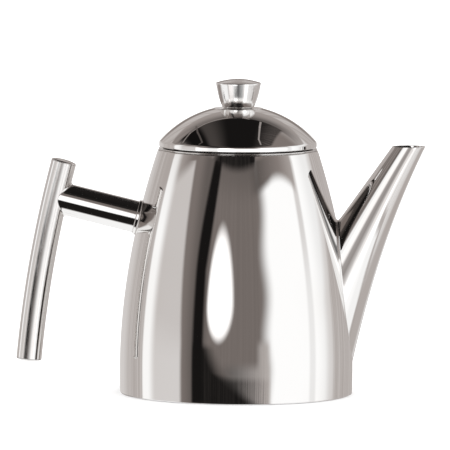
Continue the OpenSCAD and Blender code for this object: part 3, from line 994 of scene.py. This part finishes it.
world = bpy.data.worlds.new("studio")
scene.world = world
world.use_nodes = True
world.node_tree.nodes.clear()
sky = Nodes(world.node_tree)
world_output = sky.new("ShaderNodeOutputWorld")
background = sky.new("ShaderNodeBackground")
sky.put(world_output.inputs["Surface"], background.outputs[0])
sky_x, sky_y, sky_z = sky.split(sky.new("ShaderNodeTexCoord").outputs["Generated"])
# turn: bearing in degrees from the camera's side, + towards the spout
turn = sky.degrees(sky.math("ARCTAN2", sky_x, sky.mul(sky_y, -1.0)))
# rise: degrees above the horizon
rise = sky.degrees(sky.math("ARCSINE", sky_z))
# a plan of the ceiling: 0, 0 straight up, x towards the spout, y away from the camera
lift = sky.larger(sky.add(sky_z, 1.0), 0.02)
plan_x = sky.div(sky_x, lift)
plan_y = sky.div(sky_y, lift)
# folds of the cloth walls: soft upright streaks, broad and fine
folds = sky.noise(sky.combine(sky.mul(turn, 0.35), sky.mul(rise, 0.012), 0.0),
                  scale=1.0, detail=3.0, rough=0.55)
fine = sky.noise(sky.combine(sky.mul(turn, 1.1), sky.mul(rise, 0.02), 7.0),
                 scale=1.0, detail=2.0, rough=0.5)


def linear(value):
    value /= 255.0
    return value / 12.92 if value <= 0.04045 else ((value + 0.055) / 1.055) ** 2.4


def tone(grey):
    """A grey of the studio: darker greys are a little warm. A node's output passes through."""
    if isinstance(grey, SOCKET):
        return grey
    warm = min(max((236 - grey) / 111.0, 0.0), 1.0)
    parts = (1, 1 - 0.068 * warm, 1 - 0.1 * warm)
    return tuple(linear(grey * part) * GAIN for part in parts) + (1.0,)


def fade(value, low, high, first, second, kind="SMOOTHSTEP"):
    """The tone first where value is under low, second where it is over high."""
    return sky.mix(sky.ramp(value, low, high, kind=kind), tone(first), tone(second))


def after(value, edge, soft, to=(0.0, 1.0)):
    """0 before the edge, 1 after it, changing over soft on each side."""
    if isinstance(edge, SOCKET):
        value, edge = sky.sub(value, edge), 0.0
    return sky.ramp(value, edge - soft, edge + soft, to=to)


def before(value, edge, soft):
    return after(value, edge, soft, to=(1.0, 0.0))


def beyond(value, start):
    return sky.larger(sky.sub(value, start), 0.0)


def paint(base, colour, *masks, strength=1.0):
    """Lays a tone over base where all the masks hold."""
    mask = masks[0]
    for other in masks[1:]:
        mask = sky.mul(mask, other)
    if strength != 1.0:
        mask = sky.mul(mask, strength)
    return sky.mix(mask, tone(base), tone(colour))


def left_walls():
    """Cloth on all sides, then the wall on the handle's side with its hood and bright strip."""
    col = fade(folds, 0.35, 0.65, 168, 194)
    col = paint(col, 210, before(turn, -140.0, soft=14.0), before(rise, 5.0, soft=6.0),
                strength=0.8)
    col = paint(col, fade(rise, -4.0, 4.0, 208, 197),
                after(turn, -107.5, soft=2.0), before(turn, 0.0, soft=1.0))
    hood = sky.add(43.6, sky.mul(turn, 0.28))
    col = paint(col, fade(turn, -100.0, -66.0, 172, 122), after(rise, hood, soft=1.2),
                after(turn, -122.0, soft=8.0), before(turn, 0.0, soft=1.0))
    col = paint(col, fade(rise, 10.0, 24.0, 250, 226),
                after(turn, -106.5, soft=1.6), before(turn, -93.0, soft=6.0))
    edge = sky.sub(-57.0, sky.mul(beyond(rise, 0.0), 0.3))
    return paint(col, fade(turn, -58.0, -42.0, 120, 96),
                 after(turn, edge, soft=2.4), before(turn, 0.0, soft=1.0))


def camera_wall(col):
    """Grey wall on the camera's side."""
    grey = fade(folds, 0.3, 0.7, 111, 117)
    grey = fade(rise, 23.0, 29.5, grey, fade(turn, -20.0, 26.0, 103, 99))
    return paint(col, grey, after(turn, -31.0, soft=3.0), before(turn, 60.0, soft=2.0))


def right_soft_box(col):
    """Big soft box on the spout's side, its near edge a hanging cloth, and the wall above it."""
    swing = sky.math("COSINE", sky.mul(sky.sub(rise, 9.0), 2 * math.pi / 14.0))
    near = sky.add(sky.mul(swing, 1.6), 31.4)
    col = paint(col, 253, after(turn, near, soft=8.2))
    col = paint(col, fade(rise, 4.0, 17.0, 234, 212),
                after(turn, 78.0, soft=2.0), before(turn, 85.5, soft=2.0))
    col = paint(col, 236, after(turn, 97.0, soft=10.0))
    far = sky.add(sky.mul(beyond(rise, 3.0), 1.15), 103.5)
    col = paint(col, 212, after(turn, far, soft=6.0))
    col = paint(col, fade(folds, 0.4, 0.62, 170, 190), after(turn, sky.add(far, 9.5), soft=4.0))
    drop = sky.mul(sky.power(beyond(turn, 46.0), 1.75), 0.012)
    upper = fade(turn, 26.0, 62.0, 88, 132, kind="LINEAR")
    upper = fade(turn, 62.0, 82.0, upper, 166, kind="LINEAR")
    return paint(col, upper, after(rise, sky.sub(25.2, drop), soft=0.9),
                 after(turn, 22.0, soft=8.0), before(turn, 82.5, soft=1.6))


def streaked(level, swing, green, blue):
    """A warm grey from a display level of 0 to 1, its light swinging with the fine streaks."""
    light = sky.ramp(fine, 0.3, 0.7, to=(swing[0] * GAIN, swing[1] * GAIN))
    red = sky.mul(sky.power(level, 2.2), light)
    return sky.combine(red, sky.mul(red, green), sky.mul(red, blue))


def low_front(col):
    """The table's dark near edge on the left, and a paler sheen on the right."""
    sheen = streaked(sky.add(110.0 / 255, sky.mul(turn, 2.1 / 255)),
                     swing=(0.94, 1.08), green=0.92, blue=0.88)
    col = paint(col, sheen, before(rise, -3.8, soft=1.5), after(turn, -10.0, soft=12.0),
                before(turn, 32.5, soft=3.5))
    col = paint(col, sheen, before(rise, 0.9, soft=1.2), after(turn, 21.5, soft=3.5),
                before(turn, 32.5, soft=3.5))
    grain = streaked(sky.add(70.0 / 255, sky.mul(sky.larger(turn, -3.0), 3.1 / 255)),
                     swing=(0.66, 1.34), green=0.91, blue=0.87)
    col = paint(col, grain, before(rise, -6.5, soft=0.6), after(turn, -30.0, soft=8.0),
                before(turn, 32.5, soft=3.5))
    reach = sky.sub(-26.8, sky.mul(sky.add(rise, 0.4), 1.95))
    reach = sky.add(reach, sky.mul(sky.power(beyond(-5.2, rise), 1.5), 3.0))
    return paint(col, fade(fine, 0.3, 0.7, 20, 38), before(turn, reach, soft=9.0),
                 after(turn, -44.0, soft=1.5), before(rise, 0.2, soft=0.9))


def dark_gap(col):
    """Dark gap between the left wall and the oval soft box."""
    left = sky.add(-44.6, sky.mul(sky.power(beyond(rise, 12.0), 1.75), 0.07))
    right = sky.add(-33.6, sky.mul(beyond(rise, 13.0), 0.62))
    return paint(col, 22, after(turn, left, soft=2.2), before(turn, right, soft=1.9))


def ceiling(col):
    """Ridged bands, with paler walls away from the camera."""
    ridge = sky.noise(sky.combine(sky.mul(plan_x, 5.0), sky.mul(plan_y, 26.0), 3.0),
                      scale=1.0, detail=3.0, rough=0.6)
    high = fade(plan_x, -0.35, 0.5, 134, 180)
    high = paint(high, fade(ridge, 0.3, 0.7, 44, 86),
                 after(plan_x, -0.6, soft=0.2), before(plan_x, 0.32, soft=0.12),
                 after(plan_y, 0.30, soft=0.02), before(plan_y, 0.46, soft=0.10))
    high = paint(high, fade(ridge, 0.3, 0.7, 98, 150),
                 before(plan_x, -0.25, soft=0.1), before(plan_y, 0.42, soft=0.1))
    high = paint(high, fade(ridge, 0.3, 0.7, 150, 212),
                 after(plan_x, 0.42, soft=0.1), before(plan_y, 0.30, soft=0.2))
    high = paint(high, 124, after(plan_x, 0.2, soft=0.04), before(plan_x, 0.5, soft=0.12),
                 before(plan_y, 0.3, soft=0.1))
    for edge, soft, grey in ((0.40, 0.14, 156), (0.62, 0.10, 184), (0.78, 0.08, 210)):
        high = paint(high, grey, after(plan_y, edge, soft))
    return paint(col, high, after(rise, 31.0, soft=1.5))


def ceiling_patch(col):
    """Dark patch of the ceiling between the lights."""
    from_middle = sky.math("ABSOLUTE", sky.sub(turn, 2.0))
    sides = sky.larger(before(from_middle, 36.0, soft=7.0), after(rise, 37.0, soft=4.0))
    dark = fade(plan_x, -0.37, -0.31, 58, 18)
    dark = fade(plan_x, -0.235, -0.195, dark, 66)
    dark = fade(plan_x, -0.180, -0.06, dark, 22)
    dark = fade(plan_x, 0.10, 0.24, dark, fade(fine, 0.35, 0.65, 52, 84))
    dark = paint(dark, fade(fine, 0.35, 0.65, 24, 40), before(plan_y, -0.46, soft=0.05))
    return paint(col, dark, after(rise, 29.2, soft=0.8), sides,
                 after(plan_x, -0.365, soft=0.03), before(plan_x, 0.25, soft=0.012),
                 before(plan_y, 0.325, soft=0.012))


# stands and cables against the ceiling: (grey, width, points on the plan)
CABLES = (
    (150, 0.010, ((-0.355, 0.25), (-0.28, 0.31), (-0.182, 0.337), (-0.06, 0.34), (0.055, 0.322))),
    (92, 0.008, ((-0.222, 0.379), (-0.245, 0.242), (-0.255, 0.061), (-0.281, 0.057))),
    (165, 0.008, ((0.122, 0.308), (0.129, 0.209), (0.146, 0.026), (0.17, -0.03))))


def plan_line(start, end, width):
    """Mask of a thin line on the plan of the ceiling."""
    run_x, run_y = end[0] - start[0], end[1] - start[1]
    from_x, from_y = sky.sub(plan_x, start[0]), sky.sub(plan_y, start[1])
    dot = sky.add(sky.mul(from_x, run_x), sky.mul(from_y, run_y))
    along = sky.math("DIVIDE", dot, run_x * run_x + run_y * run_y, clamp=True)
    off_x = sky.sub(from_x, sky.mul(along, run_x))
    off_y = sky.sub(from_y, sky.mul(along, run_y))
    dist = sky.math("SQRT", sky.add(sky.mul(off_x, off_x), sky.mul(off_y, off_y)))
    return sky.ramp(dist, width * 0.4, width, to=(1.0, 0.0))


def cables(col):
    for grey, width, points in CABLES:
        for start, end in zip(points[:-1], points[1:]):
            col = paint(col, grey, plan_line(start, end, width), strength=0.75)
    return col


def backdrop(col):
    """Grey backdrop behind the object."""
    return paint(col, 128, after(sky.math("ABSOLUTE", turn), 163.0, soft=4.0),
                 after(rise, 7.0, soft=1.5), before(rise, 17.0, soft=3.0))


def table(col):
    """The table: pale, with a dark near edge, and a lit band with a thin line on the right."""
    top = paint(244, 128, after(turn, -60.0, soft=6.0), before(turn, 44.0, soft=6.0),
                after(rise, -54.0, soft=5.0))
    top = paint(top, 26, after(turn, -30.0, soft=8.0), before(turn, 30.0, soft=8.0),
                after(rise, -52.0, soft=4.0))
    top = paint(top, 140, before(turn, -106.0, soft=12.0), after(rise, -26.0, soft=4.0))
    edge = sky.larger(sky.sub(3.0, sky.mul(turn, 0.29)), -16.6)
    edge = sky.add(edge, sky.mul(beyond(turn, 92.0), 0.14))
    band = fade(turn, 78.0, 104.0, fade(fine, 0.35, 0.65, 206, 232), 176)
    top = paint(top, band, before(rise, edge, soft=0.5),
                after(turn, 36.0, soft=4.0), before(turn, 152.0, soft=14.0),
                before(rise, -6.0, soft=1.0), after(rise, -40.0, soft=5.0))
    from_edge = sky.math("ABSOLUTE", sky.sub(rise, edge))
    top = paint(top, 168, before(from_edge, 0.9, soft=0.6), after(turn, 34.0, soft=4.0),
                strength=0.85)
    return paint(col, top, before(rise, -10.5, soft=1.5))


studio = left_walls()
for layer in (camera_wall, right_soft_box, low_front, dark_gap, ceiling, ceiling_patch, cables,
              backdrop, table):
    studio = layer(studio)

# the studio for reflections, white for the camera, and an even 1.6 for all other light
ray = sky.new("ShaderNodeLightPath")
plain = sky.mix(ray.outputs["Is Camera Ray"], (1.6, 1.6, 1.6, 1.0), (1.0, 1.0, 1.0, 1.0))
sky.put(background.inputs["Color"], sky.mix(ray.outputs["Is Glossy Ray"], plain, studio))
background.inputs["Strength"].default_value = 1.0
world.cycles.sampling_method = "NONE"

# ---------------------------------------------------------------- reflector cards


def card(name, centre, size, only, shade):
    """A reflector card facing the object, seen only in the pieces named in only. shade makes
    its pattern from a Geometry node."""
    light = bpy.data.lights.new(name, "AREA")
    light.shape = "RECTANGLE"
    light.size, light.size_y = size
    light.energy = math.pi * light.size * light.size_y * GAIN
    light.use_nodes = True
    net = Nodes(light.node_tree)
    emission = next(node for node in net.tree.nodes if node.type == "EMISSION")
    pattern = shade(net, net.new("ShaderNodeNewGeometry"))
    net.put(emission.inputs["Strength"], pattern)
    emission.inputs["Color"].default_value = (1.0, 1.0, 1.0, 1.0)
    obj = bpy.data.objects.new(name, light)
    obj.location = centre
    obj.rotation_euler = (math.pi / 2, 0.0, 0.0)
    for kind in ("camera", "diffuse", "transmission", "volume_scatter"):
        setattr(obj, "visible_" + kind, False)
    scene.collection.objects.link(obj)
    group = bpy.data.collections.new(name + "_on")
    for receiver in only:
        group.objects.link(receiver)
    obj.light_linking.receiver_collection = group


def seen_turn(net, sight):
    """Bearing, in degrees, in which a piece sees the card."""
    return net.degrees(net.math("ARCTAN2", net.mul(sight[0], -1.0), sight[1]))


def seen_rise(net, sight):
    """Height, in degrees, at which a piece sees the card."""
    return net.degrees(net.math("ARCSINE", net.mul(sight[2], -1.0)))


# brightness across each card: (bearing in degrees, level)
GRIP_LOW = ((-66, 0), (-58, 0.3), (-49, 0.26), (-42, 0.0), (-20, 0.0), (-10, 0.18), (0, 0.38),
            (9, 0.7), (22, 0.85), (34, 0.55), (46, 0.1), (60, 0.0))
GRIP_HIGH = ((-66, 0), (-54, 0.4), (-44, 0.75), (-22, 0.7), (-12, 0.1), (0, 0.0), (40, 0.0))
SPOUT_BAND = ((-42, 0), (-34, 0.9), (-9, 0.85), (-1, 0.2), (12, 0.12), (24, 0.4), (42, 0.35),
              (54, 0.0))
KNOB_BAND = ((-60, 0), (-52, 0.75), (-28, 0.8), (-18, 0.3), (-6, 0.16), (0, 0.1), (8, 0.26),
             (20, 0.4), (30, 0.62), (50, 0.6), (58, 0.0))
RIM_BAND = ((-70, 0), (-60, 0.9), (40, 0.9), (60, 0.0))


def oval_shade(net, geometry):
    """A squarish oval, taller above its middle than below. Sizes in metres."""
    middle_x, middle_z, half_width, above, below, power = -0.078, 0.082, 0.075, 0.106, 0.054, 1.9
    x, _, z = net.split(geometry.outputs["Position"])
    across = net.div(net.math("ABSOLUTE", net.add(x, -middle_x)), half_width)
    up = net.sub(z, middle_z)
    up = net.larger(net.div(up, above), net.div(up, -below))
    total = net.add(net.power(across, power), net.power(up, power))
    return net.ramp(net.power(total, 1 / power), 0.68, 0.97, to=(1.0, 0.0))


def grip_shade(net, geometry):
    """One band all the way up, and another above a slanting step."""
    sight = net.split(geometry.outputs["Incoming"])
    bearing = seen_turn(net, sight)
    step = net.add(seen_rise(net, sight), net.mul(net.add(bearing, 35.0), 0.16))
    high = net.mul(net.curve(bearing, GRIP_HIGH), net.ramp(step, 1.5, 2.5))
    return net.add(net.curve(bearing, GRIP_LOW), high)


def spout_shade(net, geometry):
    return net.curve(seen_turn(net, net.split(geometry.outputs["Incoming"])), SPOUT_BAND)


def band_shade(band, low, high, to):
    """A band that fades between the heights low and high, in degrees."""
    def shade(net, geometry):
        sight = net.split(geometry.outputs["Incoming"])
        level = net.curve(seen_turn(net, sight), band)
        return net.mul(level, net.ramp(seen_rise(net, sight), low, high, to=to))
    return shade


pieces = {obj.name: obj for obj in scene.objects if obj.type == "MESH"}
grip_names = ("grip_bar", "grip_cap_top", "grip_cap_bottom")
card("oval_soft_box", centre=(-0.078, -0.270, 0.108), size=(0.150, 0.164),
     only=[obj for name, obj in pieces.items() if name not in grip_names], shade=oval_shade)
card("grip_card", centre=(-0.05, -0.30, 0.06), size=(1.30, 0.30),
     only=[pieces[name] for name in grip_names], shade=grip_shade)
card("spout_card", centre=(0.02, -0.40, 0.25), size=(1.30, 1.10),
     only=[pieces["spout_cone"]], shade=spout_shade)
card("knob_card", centre=(0.0, -0.30, -0.03), size=(1.20, 0.50), only=[pieces["lid_knob"]],
     shade=band_shade(KNOB_BAND, low=-38.0, high=-29.0, to=(0.0, 1.0)))
card("rim_card", centre=(0.0, -0.40, 0.06), size=(1.60, 0.40), only=[pieces["lid_cover"]],
     shade=band_shade(RIM_BAND, low=1.0, high=9.0, to=(1.0, 0.0)))

# ---------------------------------------------------------------- floor


def make_floor():
    half = 4.0  # metres
    mesh = bpy.data.meshes.new("floor")
    mesh.from_pydata([(-half, -half, 0), (half, -half, 0), (half, half, 0), (-half, half, 0)],
                     [], [(0, 1, 2, 3)])
    floor = link_new("floor", mesh)
    material = bpy.data.materials.new("floor")
    material.use_nodes = True
    net = Nodes(material.node_tree)
    white = net.tree.nodes["Principled BSDF"]
    white.inputs["Base Color"].default_value = (0.97, 0.97, 0.97, 1)
    white.inputs["Roughness"].default_value = 0.8
    white.inputs["Specular IOR Level"].default_value = 0.0
    # seen from below, the floor is clear, so the underside of the pot can be looked at
    clear = net.new("ShaderNodeBsdfTransparent")
    sides = net.new("ShaderNodeMixShader")
    net.put(sides.inputs[0], net.new("ShaderNodeNewGeometry").outputs["Backfacing"])
    net.put(sides.inputs[1], white.outputs[0])
    net.put(sides.inputs[2], clear.outputs[0])
    net.put(net.tree.nodes["Material Output"].inputs["Surface"], sides.outputs[0])
    give(floor, material)
    floor.visible_glossy = False
    floor.location = (0, 0, -0.0002)


make_floor()

# ---------------------------------------------------------------- camera, metres

EYE = Vector((0.0, -3.81, 0.414))
AIM = Vector((-0.00615, 0.0, 0.084))
ROLL = math.radians(0.45)
VIEW_WIDTH = 0.225  # width seen at the aim point

cam_data = bpy.data.cameras.new("camera")
camera = link_new("camera", cam_data)
facing = (AIM - EYE).normalized().to_track_quat("-Z", "Y").to_matrix().to_4x4()
camera.matrix_world = Matrix.Translation(EYE) @ facing @ Matrix.Rotation(ROLL, 4, "Z")
cam_data.sensor_width = 36.0
cam_data.lens = 36.0 * (AIM - EYE).length / VIEW_WIDTH
cam_data.clip_end = 50.0
scene.camera = camera
scene.view_settings.view_transform = "Standard"
scene.view_settings.look = "None"
